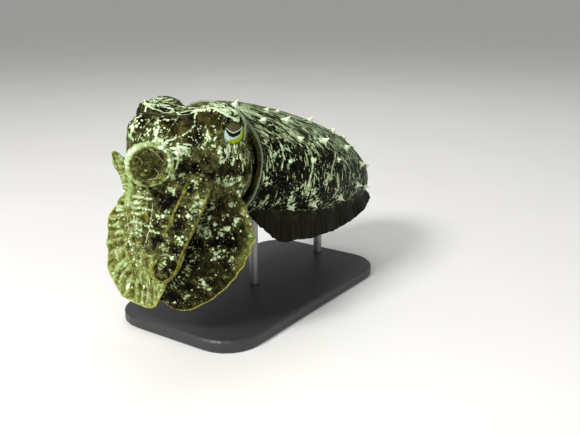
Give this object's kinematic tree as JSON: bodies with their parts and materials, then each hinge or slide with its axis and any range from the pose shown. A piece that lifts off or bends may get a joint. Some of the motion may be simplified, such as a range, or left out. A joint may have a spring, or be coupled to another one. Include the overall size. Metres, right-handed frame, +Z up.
{
  "type": "broadclub cuttlefish",
  "caption": "Life-size still model of a cuttlefish hovering with rolled upper arms and broad hanging lower arms, on a flat base with two short rods.",
  "frame": {"origin": "centre of the stand base's underside", "axes": "+Z up, -Y towards the animal's front, +X towards its own left side"},
  "size_m": [0.139, 0.3176, 0.1846],
  "materials": {
    "skin": "soft olive-brown skin with pale blotches, small white dots and raised papillae",
    "fin_skin": "thin grey-brown fin skin with fine lengthwise and crosswise streaks",
    "eye": "glossy silver-green eye with a dark W-shaped pupil and a yellow lower edge",
    "beak": "dark polished horn",
    "stand": "satin dark grey"
  },
  "bodies": {
    "root": {"mantle": "skin", "fin_left": "fin_skin", "fin_right": "fin_skin", "head": "skin", "eye_left": "eye", "eye_right": "eye", "funnel": "skin", "lips": "skin", "beak": "beak", "arm_left_1_base": "skin", "arm_left_1_middle": "skin", "arm_left_1_tip": "skin", "arm_left_2_base": "skin", "arm_left_2_middle": "skin", "arm_left_2_tip": "skin", "arm_left_3_base": "skin", "arm_left_3_middle": "skin", "arm_left_3_tip": "skin", "arm_left_4_base": "skin", "arm_left_4_middle": "skin", "arm_left_4_tip": "skin", "arm_right_1_base": "skin", "arm_right_1_middle": "skin", "arm_right_1_tip": "skin", "arm_right_2_base": "skin", "arm_right_2_middle": "skin", "arm_right_2_tip": "skin", "arm_right_3_base": "skin", "arm_right_3_middle": "skin", "arm_right_3_tip": "skin", "arm_right_4_base": "skin", "arm_right_4_middle": "skin", "arm_right_4_tip": "skin", "stand_base": "stand", "stand_rod_front": "stand", "stand_rod_rear": "stand"}
  },
  "joints": []
}
